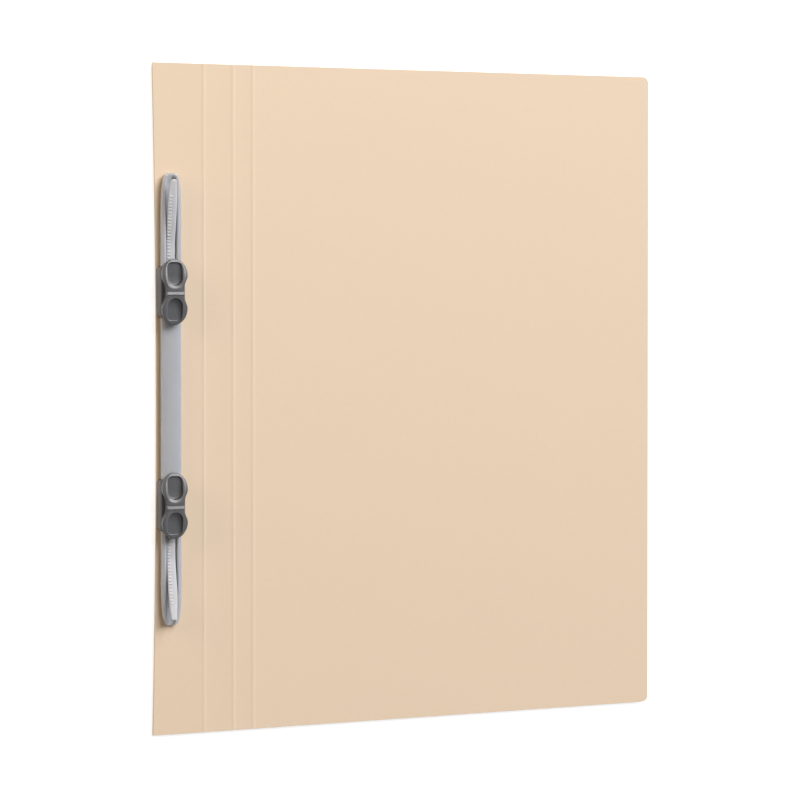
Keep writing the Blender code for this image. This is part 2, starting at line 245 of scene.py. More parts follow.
class FolderBar(PropertyGroup):
    """The compressor bar on the front cover."""

    floor: length("Floor", "Thickness of the trough's floor", 0.0012)
    foot_height: length("Foot height", "Height of the narrow foot under the rails", 0.00095)
    undercut: length("Undercut", "How far the foot stands back under the rails", 0.0012)
    trough_width: length("Trough width", "Width of the trough between the rails", 0.0048)
    trough_start: length("Trough start", "Distance of the trough's closed end from the middle", 0.037)
    trough_overrun: length("Trough overrun", "How far the trough's own tip lies beyond the bar's end", 0.004)
    taper: length("Taper", "Length of the tapering end", 0.026)
    fullness: share("Fullness", "How blunt the tapering ends are", 3.8)
    crown: length("Crown", "How far the top rises from its edges to the middle", 0.00080)
    rail_nose: length("Rail nose", "Rail width below which the rail slopes down to the floor", 0.0008)
    edge_radius: length("Edge radius", "Radius of the rails' outer edges", 0.00050)
    inner_radius: length("Inner radius", "Radius of the rails' inner edges", 0.00090)
    slot_width: length("Slot width", "Width of the slot that a post comes up through", 0.0047)
    slot_length: length("Slot length", "Length of the slot that a post comes up through", 0.0024)
    slot_lead: length("Slot lead", "How far the slot starts before the post's middle", 0.0009)
    plastic_colour: colour("Bar colour", "Colour of the bar", (0.44, 0.455, 0.49))


class FolderSliders(PropertyGroup):
    """The two sliding locks."""

    flange_width: length("Flange width", "Width of the foot that grips the bar", 0.0127)
    flange_length: length("Flange length", "Length of the foot that grips the bar", 0.0237)
    flange_top: length("Flange top", "Height of the foot", 0.0055)
    flange_lean: length("Flange lean", "How far the foot's flanks lean in towards its shoulder", 0.0004)
    flange_shoulder: length("Flange shoulder", "Size of the sloping shoulder along the foot's top", 0.0010)
    flange_corner: length("Flange corner", "Size of the cut at the foot's four corners", 0.0015)
    flange_softness: length("Flange softness", "How far the foot's edges are rounded", 0.00022)
    channel_width: length("Channel width", "Width of the channel that takes the rails", 0.0100)
    channel_top: length("Channel top", "Height of the channel", 0.0043)
    lip_height: length("Lip height", "Height of the lips under the rails", 0.00065)
    lip_gap: length("Lip gap", "Width between the lips", 0.0076)
    neck_width: length("Neck width", "Width of the neck under the pad", 0.0108)
    neck_length: length("Neck length", "Length of the neck under the pad", 0.0230)
    neck_flare: length("Neck flare", "How far the neck spreads where it meets the foot", 0.0003)
    pad_bottom: length("Pad bottom", "Height of the pad's underside", 0.0064)
    pad_width: length("Pad width", "Width of the finger pad", 0.0118)
    pad_length: length("Pad length", "Length of the finger pad", 0.0300)
    pad_waist: length("Pad waist", "How far each side is drawn in at the waist", 0.0019)
    pad_edge: length("Pad edge", "Radius of the pad's upper edge", 0.00045)
    pad_heel: length("Pad heel", "Radius of the pad's lower edge", 0.00048)
    arch_drop: length("Arch drop", "How far the pad's top falls from its waist to its ends", 0.0028)
    shoulder_drop: length("Shoulder drop", "How far the pad falls from its rims to its sides", 0.00030)
    lobe: length("Lobe", "Distance of a lobe's middle from the waist", 0.0076)
    dimple_depth: length("Dimple depth", "Depth of a dimple's floor below the top of the arch", 0.0032)
    dimple_side: length("Dimple side", "Width of the rim beside a dimple", 0.0023)
    dimple_end: length("Dimple end", "Width of the rim at a dimple's outer end", 0.0015)
    dimple_point: length("Dimple point", "Distance of a dimple's inner end from the waist", 0.0028)
    steepness: share("Steepness", "How upright a dimple's walls are", 36.0)
    floor_rise: length("Floor rise", "How far a dimple's floor rises towards the waist", 0.00050)
    side_slope: length("Side slope", "Width of the slope into a dimple at its sides", 0.00080)
    point_slope: length("Point slope", "Width of the slope into a dimple round its inner end", 0.0013)
    side_fall: length("Side fall", "Height of the slope into a dimple at its sides", 0.00014)
    point_fall: length("Point fall", "Height of the slope into a dimple round its inner end", 0.00038)
    strip_half: length("Strip half", "Half of the plain strip across the waist", 0.0012)
    rib_rise: length("Rib rise", "How far the rib stands above the arch", 0.0004)
    rib_width: length("Rib width", "Width of the rib across the waist", 0.0016)
    rib_length: length("Rib length", "Length of the rib across the waist", 0.0082)
    rib_slope: length("Rib slope", "How far the rib's top falls up the page", 0.00045)
    rib_offset: length("Rib offset", "How far the rib lies below the middle of the pad", 0.0006)
    plastic_colour: colour("Slider colour", "Colour of the sliders", (0.076, 0.0775, 0.085))


class FolderStage(PropertyGroup):
    """The floor, the light and the camera."""

    floor_size: length("Floor size", "Width of the floor", 12.0)
    floor_colour: colour("Floor colour", "Colour of the floor", (0.90, 0.90, 0.90))
    floor_glow: share("Floor glow", "Light that the floor adds, so that it reads as white", 0.72)
    floor_mirrored: share("Floor mirrored", "Share of the added light that glossy surfaces mirror", 0.4)
    key_power: share("Key power", "Power of the soft light at the upper right, in watts", 218.0)
    key_colour: colour("Key colour", "Colour of the soft light at the upper right", (1.0, 1.0, 1.0))
    key_size: length("Key size", "Width of the soft light at the upper right", 2.80)
    key_place: point("Key place", "Place of the soft light at the upper right", (1.78, 2.45, 2.98))
    fill_power: share("Fill power", "Power of the low light at the left, in watts", 5.0)
    fill_colour: colour("Fill colour", "Colour of the low light at the left", (1.0, 0.76, 0.50))
    fill_size: length("Fill size", "Width of the low light at the left", 0.80)
    fill_place: point("Fill place", "Place of the low light at the left", (-1.05, 0.55, 0.28))
    sky_strength: share("Sky strength", "Strength of the even light from all round", 0.15)
    camera_place: point("Camera place", "Place of the camera", (-0.3945, 0.0603, 1.0597))
    camera_turn: FloatVectorProperty(
        name="Camera turn",
        description="Pitch, yaw and roll of the camera, from looking straight down",
        default=(math.radians(-0.696), math.radians(-20.232), 0.0),
        size=3,
        subtype="EULER",
    )
    camera_lens: share("Camera lens", "Focal length in millimetres", 107.28)
    camera_shift: FloatProperty(name="Camera shift", description="Upward shift of the picture", default=-0.13)


# Shaping helpers


def smooth_step(value, low, high):
    """Rises smoothly from 0 at low to 1 at high."""
    place = min(1.0, max(0.0, (value - low) / (high - low)))
    return place * place * (3 - 2 * place)


def rounded(value, power):
    """Half-width of a rounded end, from 1 at its root to 0 at its tip."""
    return max(0.0, 1 - max(0.0, value) ** power) ** (1 / power)


def curve_point(angle, width, reach, powers):
    """A point of a rounded end at an angle from its root, with a power for each direction."""
    across = abs(math.cos(angle)) ** (2 / powers[0])
    along = abs(math.sin(angle)) ** (2 / powers[1])
    return width * across, math.copysign(reach * along, angle)


def spread(start, end, steps):
    """Evenly spaced values from start to end."""
    return [start + (end - start) * step / steps for step in range(steps + 1)]


def everything(shape):
    """All points, edges and faces of a shape."""
    return shape.verts[:] + shape.edges[:] + shape.faces[:]


def only(kind, parts):
    """The parts that are of one kind."""
    return [part for part in parts if isinstance(part, kind)]


def split_at(shape, axis, place):
    """Adds an edge line across the whole shape."""
    normal = Vector([1.0 if number == axis else 0.0 for number in range(3)])
    bmesh.ops.bisect_plane(shape, geom=everything(shape), dist=SAME, plane_co=normal * place, plane_no=normal)


def ruled_sheet(left, right, low, high, columns, rows):
    """A flat sheet with an edge line along every column and row."""
    sheet = bmesh.new()
    bmesh.ops.create_grid(sheet, x_segments=1, y_segments=1, size=0.5)
    bmesh.ops.scale(sheet, verts=sheet.verts, vec=(right - left, high - low, 1.0))
    bmesh.ops.translate(sheet, verts=sheet.verts, vec=((left + right) / 2, (low + high) / 2, 0.0))
    for place in columns:
        split_at(sheet, 0, place)
    for place in rows:
        split_at(sheet, 1, place)
    return sheet


def thicken(shape, depth):
    """Turns a sheet into a slab by pushing a copy of it along Z."""
    pushed = bmesh.ops.extrude_face_region(shape, geom=shape.faces[:])["geom"]
    bmesh.ops.translate(shape, verts=only(bmesh.types.BMVert, pushed), vec=(0.0, 0.0, depth))
    bmesh.ops.recalc_face_normals(shape, faces=shape.faces)


def soften(shape, chosen, offset, segments, affect="EDGES"):
    """Rounds the chosen edges, or the chosen corners of a flat sheet."""
    return bmesh.ops.bevel(
        shape,
        geom=chosen,
        offset=offset,
        segments=segments,
        profile=0.5,
        affect=affect,
        clamp_overlap=True,
        material=-1,
    )


def sharp_edges(shape, degrees):
    """Edges whose two faces turn by more than an angle."""
    limit = math.radians(degrees)
    return [edge for edge in shape.edges if len(edge.link_faces) == 2 and edge.calc_face_angle() > limit]


def rub_edges(shape, softness, wear):
    """Rounds the edges of a moulding and marks them as worn."""
    made = soften(shape, sharp_edges(shape, MOULDED_ANGLE), softness, EDGE_STEPS)
    worn = shape.verts.layers.float["wear"]
    for corner in made["verts"]:
        corner[worn] = wear


def rim_of(faces):
    """The edges between the chosen faces and their neighbours."""
    rim = []
    for face in faces:
        rim += [edge for edge in face.edges if any(other not in faces for other in edge.link_faces)]
    return rim


def extend(shape, edges):
    """Pulls a strip of faces out of an edge line, and returns the new edges and points."""
    pulled = bmesh.ops.extrude_edge_only(shape, edges=edges)["geom"]
    return only(bmesh.types.BMEdge, pulled), only(bmesh.types.BMVert, pulled)


def first_line(shape, places, closed):
    """A line of numbered points that a surface is pulled out of."""
    number = shape.verts.layers.int["number"]
    points = []
    for count, place in places.items():
        made = shape.verts.new(place)
        made[number] = count
        points.append(made)
    pairs = list(zip(points, points[1:]))
    if closed:
        pairs.append((points[-1], points[0]))
    return [shape.edges.new(pair) for pair in pairs]


def next_line(shape, edges, places, wear=0.0):
    """Pulls the surface on to the next line of points, which keep their numbers, and marks their wear."""
    number = shape.verts.layers.int["number"]
    worn = shape.verts.layers.float["wear"]
    pulled, points = extend(shape, edges)
    for corner in points:
        corner.co = places[corner[number]]
        corner[worn] = wear
    return pulled


def new_shape():
    """An empty shape whose points carry a number and a measure of wear."""
    shape = bmesh.new()
    shape.verts.layers.int.new("number")
    shape.verts.layers.float.new("wear")
    return shape


def absorb(target, other):
    """Adds one shape to another."""
    carrier = bpy.data.meshes.new("carrier")
    other.to_mesh(carrier)
    other.free()
    target.from_mesh(carrier)
    bpy.data.meshes.remove(carrier)


def placed(name, data):
    """A new object in the scene."""
    item = bpy.data.objects.new(name, data)
    bpy.context.scene.collection.objects.link(item)
    return item


def finished(shape, name, material, sharp=SHARP_ANGLE):
    """The finished piece, with its place in its mesh and its faces turned outwards."""
    bmesh.ops.recalc_face_normals(shape, faces=shape.faces)
    mesh = bpy.data.meshes.new(name)
    shape.to_mesh(mesh)
    shape.free()
    mesh.shade_smooth()
    mesh.set_sharp_from_angle(angle=math.radians(sharp))
    mesh.materials.append(material)
    return placed(name, mesh)


def even_shading(piece):
    """Keeps large faces flat between rounded edges."""
    weighted = piece.modifiers.new("even_shading", "WEIGHTED_NORMAL")
    weighted.keep_sharp = True


# Finishes


def add_node(tree, kind, **values):
    """A node with its plain settings, and with its inputs set or linked by name."""
    made = tree.nodes.new(kind)
    for key, value in values.items():
        name = key.replace("_", " ")
        if name in made.inputs:
            feed(tree, made.inputs[name], value)
        else:
            setattr(made, key, value)
    return made


def feed(tree, socket, value):
    """Links an output to a socket, or sets the socket's own value."""
    if isinstance(value, bpy.types.NodeSocket):
        tree.links.new(value, socket)
    else:
        socket.default_value = value


def joined(tree, kind, *values, **settings):
    """The first output of a node whose inputs take the values in order."""
    made = add_node(tree, kind, **settings)
    for socket, value in zip(made.inputs, values):
        feed(tree, socket, value)
    return made.outputs[0]


def calculate(tree, operation, *values, **settings):
    """The result of a Math node."""
    return joined(tree, "ShaderNodeMath", *values, operation=operation, **settings)


def new_group(name, inputs, outputs):
    """An empty shader node group with named sockets, with what it is given and what it puts out."""
    group = bpy.data.node_groups.new(name, "ShaderNodeTree")
    for direction, sockets in (("INPUT", inputs), ("OUTPUT", outputs)):
        for label, kind in sockets.items():
            group.interface.new_socket(label, in_out=direction, socket_type=f"NodeSocket{kind}")
    return group, add_node(group, "NodeGroupInput").outputs, add_node(group, "NodeGroupOutput").inputs


def uneven_tone():
    """Makes a colour a little darker and lighter from place to place."""
    inputs = {"Place": "Vector", "Colour": "Color", "Scale": "Float", "Strength": "Float"}
    group, given, result = new_group("uneven_tone", inputs, {"Colour": "Color"})
    noise = add_node(group, "ShaderNodeTexNoise", Vector=given["Place"], Scale=given["Scale"], Detail=4.0)
    centred = calculate(group, "SUBTRACT", noise.outputs["Fac"], 0.5)
    swing = calculate(group, "MULTIPLY_ADD", centred, given["Strength"], 1.0)
    toned = joined(group, "ShaderNodeVectorMath", given["Colour"], operation="SCALE", Scale=swing)
    feed(group, result["Colour"], toned)
    return group


def fine_grain():
    """A fine grain, as a height and as a roughness that follows it."""
    inputs = {"Place": "Vector", "Scale": "Float", "Smooth": "Float", "Rough": "Float"}
    group, given, result = new_group("fine_grain", inputs, {"Height": "Float", "Roughness": "Float"})
    fine = add_node(group, "ShaderNodeTexNoise", Vector=given["Place"], Scale=given["Scale"], Detail=3.0)
    spread_out = add_node(
        group,
        "ShaderNodeMapRange",
        Value=fine.outputs["Fac"],
        From_Min=0.3,
        From_Max=0.7,
        To_Min=given["Smooth"],
        To_Max=given["Rough"],
    )
    feed(group, result["Height"], fine.outputs["Fac"])
    feed(group, result["Roughness"], spread_out.outputs["Result"])
    return group


def worn_edges():
    """Brings out another colour where a piece rubs in use, broken up by a fine noise."""
    inputs = {"Place": "Vector", "Colour": "Color", "Worn Colour": "Color", "Wear": "Float", "Scale": "Float"}
    group, given, result = new_group("worn_edges", inputs, {"Colour": "Color"})
    noise = add_node(group, "ShaderNodeTexNoise", Vector=given["Place"], Scale=given["Scale"], Detail=2.0)
    lifted = calculate(group, "ADD", noise.outputs["Fac"], WEAR_LIFT)
    broken = calculate(group, "MULTIPLY", lifted, given["Wear"], use_clamp=True)
    mixed = add_node(group, "ShaderNodeMix", data_type="RGBA", Factor=broken)
    feed(group, mixed.inputs[MIX_FIRST], given["Colour"])
    feed(group, mixed.inputs[MIX_SECOND], given["Worn Colour"])
    feed(group, result["Colour"], mixed.outputs[MIX_RESULT])
    return group


def add_group(tree, build, **values):
    """A shared group in a material, built where it is used first."""
    group = bpy.data.node_groups.get(build.__name__) or build()
    return add_node(tree, "ShaderNodeGroup", node_tree=group, **values)


def surface(name, base, worn, tones, grain, specular, follows_sheet, milky=0.0):
    """A finish with an uneven tone, a fine grain and worn edges.

    tones are (scale, strength) pairs, and grain is (scale, smoothest, roughest, bump distance). milky is the
    share of the light that spreads inside the material.
    """
    material = bpy.data.materials.new(name)
    material.use_nodes = True
    tree = material.node_tree
    if follows_sheet:
        place = add_node(tree, "ShaderNodeAttribute", attribute_name="flat_place").outputs["Vector"]
    else:
        place = add_node(tree, "ShaderNodeTexCoord").outputs["Object"]
    wear = add_node(tree, "ShaderNodeAttribute", attribute_name="wear").outputs["Fac"]
    fineness, smooth, rough, bump_distance = grain
    tint = (*base, 1.0)
    for scale, strength in tones:
        toned = add_group(tree, uneven_tone, Place=place, Colour=tint, Scale=scale, Strength=strength)
        tint = toned.outputs["Colour"]
    rubbed = add_group(
        tree, worn_edges, Place=place, Colour=tint, Worn_Colour=(*worn, 1.0), Wear=wear, Scale=fineness / 2
    )
    fine = add_group(tree, fine_grain, Place=place, Scale=fineness, Smooth=smooth, Rough=rough)
    height = fine.outputs["Height"]
    bump = add_node(tree, "ShaderNodeBump", Height=height, Distance=bump_distance, Strength=1.0)
    values = {
        "Base Color": rubbed.outputs["Colour"],
        "Roughness": fine.outputs["Roughness"],
        "Normal": bump.outputs["Normal"],
        "Specular IOR Level": specular,
        "Subsurface Weight": milky,
        "Subsurface Radius": (1.0, 1.0, 1.0),
        "Subsurface Scale": MILKY_DEPTH,
    }
    for label, value in values.items():
        feed(tree, tree.nodes["Principled BSDF"].inputs[label], value)
    return material


def lighter(base, amount):
    """A colour moved part of the way to white."""
    return [part + (1.0 - part) * amount for part in base]


def card_finish():
    """The matte card of both covers."""
    covers = bpy.context.scene.folder_covers
    found = bpy.data.materials.get("buff_card")
    return found or surface(
        "buff_card",
        covers.card_colour,
        covers.cut_colour,
        tones=((18.0, 0.02), (420.0, 0.03), (2600.0, 0.05)),
        grain=(3200.0, 0.48, 0.60, 0.000010),
        specular=0.5,
        follows_sheet=True,
    )


def plastic_finish(name, base, worn_share, smooth, rough, specular=0.5, follows_sheet=False, milky=0.0):
    """A satin plastic that grows lighter where it is worn."""
    found = bpy.data.materials.get(name)
    return found or surface(
        name,
        base,
        lighter(base, worn_share),
        tones=((160.0, 0.08), (1500.0, 0.06)),
        grain=(5200.0, smooth, rough, 0.000006),
        specular=specular,
        follows_sheet=follows_sheet,
        milky=milky,
    )


# Covers


def rise_of_bead(distance, covers):
    """Height of an embossed bead at a distance from its crease."""
    place = min(1.0, abs(distance) / (covers.bead_width / 2))
    return covers.bead_height * (1 + math.cos(math.pi * place)) / 2


def punch(sheet, across, along, radius):
    """Cuts a round hole by bridging a square of the sheet to a circle."""
    room = radius * HOLE_ROOM
    for axis, middle in ((0, across), (1, along)):
        for side in (-1, 1):
            split_at(sheet, axis, middle + side * room)
    inside = []
    for face in sheet.faces:
        middle = face.calc_center_median()
        if abs(middle.x - across) < room and abs(middle.y - along) < room:
            inside.append(face)
    rim = rim_of(inside)
    bmesh.ops.delete(sheet, geom=inside, context="FACES_ONLY")
    loose = [edge for edge in sheet.edges if not edge.link_faces]
    bmesh.ops.delete(sheet, geom=loose, context="EDGES")
    place = Matrix.Translation((across, along, 0.0))
    bmesh.ops.create_circle(sheet, segments=HOLE_SIDES, radius=radius, matrix=place)
    ring = [edge for edge in sheet.edges if not edge.link_faces]
    bmesh.ops.bridge_loops(sheet, edges=rim + ring)


def bow_binding_edge(sheet, covers):
    """Draws the binding edge in towards the middle of the page."""
    for corner in sheet.verts:
        if corner.co.x < BINDING_X + SAME:
            corner.co.x += covers.binding_bow * (1 - (corner.co.y / PAGE_HALF) ** 2)


def card_sheet(left, right, crease):
    """The outer face of one stretch of a cover, flat, with lines along its crease and its page rows."""
    covers = bpy.context.scene.folder_covers
    post_y = bpy.context.scene.folder_prongs.post_spacing / 2
    half_bead = covers.bead_width / 2
    columns = [crease + reach for reach in spread(-half_bead, half_bead, BEAD_STEPS)]
    rows = spread(-PAGE_HALF, PAGE_HALF, PAGE_ROWS)[1:-1]
    sheet = ruled_sheet(left, right, -PAGE_HALF, PAGE_HALF, columns, rows)
    if left == BINDING_X:
        for side in (-1, 1):
            punch(sheet, FASTENER_X, side * post_y, covers.hole_radius)
        bow_binding_edge(sheet, covers)
    if right == FORE_X:
        corners = [v for v in sheet.verts if v.co.x > right - SAME and abs(v.co.y) > PAGE_HALF - SAME]
        soften(sheet, corners, covers.fore_corner, CORNER_STEPS, affect="VERTICES")
    return sheet


def card_solid(sheet, left, right, crease, outer_z, up):
    """Embosses the crease, gives the sheet its thickness and softens its cut edges."""
    covers = bpy.context.scene.folder_covers
    wear = sheet.verts.layers.float.new("wear")
    flat = sheet.verts.layers.float_vector.new("flat_place")
    for corner in sheet.verts:
        corner.co.z = up * rise_of_bead(corner.co.x - crease, covers)
    thicken(sheet, -up * covers.card_thickness)
    seams = [edge_x for edge_x in (left, right) if edge_x not in (BINDING_X, FORE_X)]
    cut = []
    for edge in sharp_edges(sheet, CUT_ANGLE):
        on_seam = any(all(abs(v.co.x - seam) < SAME for v in edge.verts) for seam in seams)
        if not on_seam:
            cut.append(edge)
    soften(sheet, cut, covers.cut_softness, CUT_STEPS)
    for corner in sheet.verts:
        rise = rise_of_bead(corner.co.x - crease, covers)
        depth = rise - up * corner.co.z
        in_cut = SAME < depth < covers.card_thickness - SAME
        corner[wear] = 1.0 if in_cut else BEAD_WEAR * rise / covers.bead_height
        corner.co.z += outer_z
        corner[flat] = corner.co
    return sheet


def make_cover(name, side, up, inner_z):
    """One cover as three sheets that meet in the middle of the narrow strips, each bending at one crease."""
    covers = bpy.context.scene.folder_covers
    outer_z = inner_z + up * covers.card_thickness
    seams = [(one + two) / 2 for one, two in zip(CREASES, CREASES[1:])]
    edges = [BINDING_X, *seams, FORE_X]
    bodies = ["binding", f"{side}_strip_1", f"{side}_strip_2", f"{side}_panel"]
    nodes = [("margin",), ("strip_1",), ("strip_2", "panel")]
    for count, label in enumerate(("margin", "spine", "panel")):
        left, right, crease = edges[count], edges[count + 1], CREASES[count]
        sheet = card_sheet(left, right, crease)
        shape = card_solid(sheet, left, right, crease, outer_z, up)
        piece = finished(shape, f"{name}_{label}_card", card_finish(), sharp=SHARP_CARD_ANGLE)
        reach = covers.bead_width / 2
        start, end = (crease - reach, 0.0, outer_z), (crease + reach, 0.0, outer_z)
        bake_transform(piece, bodies[count], bodies[count + 1], start=start, end=end)
        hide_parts(*[f"{name}_{node}" for node in nodes[count]])


class FOLDER_OT_front_cover(Operator):
    """Model the front cover, a sheet of card that bends at three creases"""

    bl_idname = "folder.front_cover"
    bl_label = "Front Cover"

    def execute(self, context):
        make_cover("front_cover", "front", 1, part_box("front_cover_panel")[0].z)
        return {"FINISHED"}


class FOLDER_OT_back_cover(Operator):
    """Model the back cover, a sheet of card that bends at three creases"""

    bl_idname = "folder.back_cover"
    bl_label = "Back Cover"

    def execute(self, context):
        make_cover("back_cover", "back", -1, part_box("back_cover_panel")[1].z)
        return {"FINISHED"}


# Base strip and prongs


class FOLDER_OT_base(Operator):
    """Model the base strip behind the back cover"""

    bl_idname = "folder.base"
    bl_label = "Fastener Base"

    def execute(self, context):
        prongs = context.scene.folder_prongs
        shape = new_shape()
        half = prongs.base_width / 2
        bmesh.ops.create_circle(shape, cap_ends=True, segments=2 * HOLE_SIDES, radius=half)
        for side in (-1, 1):
            end = [corner for corner in shape.verts if corner.co.y * side > SAME]
            bmesh.ops.translate(shape, verts=end, vec=(0.0, side * (prongs.base_length / 2 - half), 0.0))
        thicken(shape, prongs.base_thickness)
        soften(shape, sharp_edges(shape, CUT_ANGLE), prongs.base_thickness / 4, EDGE_STEPS)
        bmesh.ops.translate(shape, verts=shape.verts, vec=(FASTENER_X, 0.0, 0.0))
        piece = finished(shape, "fastener_base_strip", prong_finish(follows_sheet=False))
        even_shading(piece)
        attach(piece, "binding")
        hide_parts("fastener_base")
        return {"FINISHED"}


def prong_finish(follows_sheet):
    """The plastic of the bent prongs, or of the flat base strip."""
    return plastic_finish(
        "satin_prong" if follows_sheet else "satin_base",
        bpy.context.scene.folder_prongs.plastic_colour,
        worn_share=0.25,
        smooth=0.36,
        rough=0.46,
        specular=0.12,
        follows_sheet=follows_sheet,
        milky=0.7,
    )


def prong_path(prongs):
    """The prong's middle line as (length, turn) stretches: post, bend, covered run, flex and tail."""
    flex = FLEX_SPAN * prongs.thickness
    post = PRONG_Z - prongs.bend_radius - prongs.base_thickness / 2
    run = FLEX_Y - prongs.post_spacing / 2 - prongs.bend_radius - flex / 2
    return [
        (post, 0.0),
        (prongs.bend_radius * math.pi / 2, -math.pi / 2),
        (run, 0.0),
        (flex, prongs.lift),
        (prongs.tail_length - flex / 2, 0.0),
    ]


def follow(path, start, travel):
    """Place and heading after a travel along a path that starts straight up."""
    along, up = start
    heading = math.pi / 2
    for stretch, turn in path:
        step = min(travel, stretch)
        bend = turn * step / stretch
        if turn:
            radius = stretch / turn
            along += radius * (math.sin(heading + bend) - math.sin(heading))
            up += radius * (math.cos(heading) - math.cos(heading + bend))
        else:
            along += step * math.cos(heading)
            up += step * math.sin(heading)
        heading += bend
        travel -= step
    return along, up, heading


def tooth_rows(prongs, path):
    """Where each tooth starts and ends along the strap, from the bend to the smooth tip."""
    start = path[0][0] + path[1][0] + prongs.tooth_pitch
    end = sum(stretch for stretch, turn in path) - prongs.tip_length
    count = int((end - start) / prongs.tooth_pitch)
    first = end - count * prongs.tooth_pitch
    teeth = []
    for number in range(count):
        low = first + number * prongs.tooth_pitch
        teeth.append((low, low + prongs.tooth_pitch - prongs.tooth_gap))
    return teeth


def flat_strap(prongs, path):
    """The prong as a straight strap: X across, Y along its length and Z through its thickness."""
    total = sum(stretch for stretch, turn in path)
    teeth = tooth_rows(prongs, path)
    bend_start = path[0][0]
    rows = spread(bend_start, bend_start + path[1][0], BEND_STEPS)
    rows += [place for tooth in teeth for place in tooth]
    rows += spread(total - prongs.tip_length, total, TIP_STEPS)[1:-1]
    half = prongs.width / 2
    strap = ruled_sheet(-half, half, 0.0, total, [prongs.tooth_reach - half], rows)
    loss = (1 - prongs.tip_width / prongs.width) / smooth_step(1.0, 0.0, TAPER_REACH)
    for corner in strap.verts:
        place = 1 - (total - corner.co.y) / prongs.taper
        corner.co.x *= 1 - loss * smooth_step(place, 0.0, TAPER_REACH)
    tip = prongs.tip_width / 2
    ends = [v for v in strap.verts if v.co.y > total - SAME and abs(v.co.x) > tip - SAME]
    soften(strap, ends, prongs.tip_corner, ROUND_STEPS, affect="VERTICES")
    bmesh.ops.translate(strap, verts=strap.verts, vec=(0.0, 0.0, prongs.thickness / 2))
    thicken(strap, -prongs.thickness)
    soften(strap, sharp_edges(strap, CUT_ANGLE), prongs.thickness / 8, CUT_STEPS)
    return strap, teeth


def raise_teeth(strap, teeth, prongs):
    """Lifts a tooth out of the strap's left half in every tooth row."""
    top = prongs.thickness / 2
    limit = prongs.tooth_reach - prongs.width / 2
    chosen = []
    for face in strap.faces:
        middle = face.calc_center_median()
        on_top = middle.z > top - SAME and middle.x < limit
        if on_top and any(low < middle.y < high for low, high in teeth):
            chosen.append(face)
    bmesh.ops.inset_individual(strap, faces=chosen, thickness=prongs.tooth_gap / 3, depth=prongs.tooth_height)


def make_prong(name, side):
    """A prong that comes up through the covers, bends along the bar and springs up at its free end."""
    prongs = bpy.context.scene.folder_prongs
    path = prong_path(prongs)
    strap, teeth = flat_strap(prongs, path)
    raise_teeth(strap, teeth, prongs)
    wear = strap.verts.layers.float.new("wear")
    flat = strap.verts.layers.float_vector.new("flat_place")
    start = (prongs.post_spacing / 2, prongs.base_thickness / 2)
    for corner in strap.verts:
        across, travel, height = corner.co
        corner[flat] = corner.co
        corner[wear] = 1.0 if height > prongs.thickness / 2 + SAME else 0.0
        along, up, heading = follow(path, start, travel)
        along -= height * math.sin(heading)
        up += height * math.cos(heading)
        corner.co = (FASTENER_X - prongs.lean + across, side * along, up)
    piece = finished(strap, f"{name}_toothed_prong", prong_finish(follows_sheet=True))
    reach = FLEX_SPAN * prongs.thickness
    start = (FASTENER_X, side * (FLEX_Y - reach), PRONG_Z)
    end = (FASTENER_X, side * (FLEX_Y + reach), PRONG_Z)
    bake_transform(piece, "binding", f"{name}_prong", start=start, end=end)
    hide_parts(f"{name}_prong_tail")


class FOLDER_OT_prongs(Operator):
    """Model the two toothed prongs"""

    bl_idname = "folder.prongs"
    bl_label = "Prongs"

    def execute(self, context):
        make_prong("upper", 1)
        make_prong("lower", -1)
        return {"FINISHED"}


# Compressor bar


def bar_stations(bar, post_y):
    """Places along the bar where its section is drawn, from the lower end to the upper one."""
    end = BAR_HIGH.y
    slot_start = post_y - bar.slot_lead
    upper = [0.0, bar.trough_start / 2]
    upper += spread(bar.trough_start - bar.floor, bar.trough_start, ROUND_STEPS)
    upper += [slot_start, slot_start + bar.slot_length]
    root = end - bar.taper
    for angle in spread(0.0, math.pi / 2, BAR_TIP_STEPS)[:-1]:
        upper.append(root + bar.taper * math.sin(angle))
    upper.append(end - bar.taper * TIP_GAP)
    return [-place for place in reversed(upper[1:])] + upper


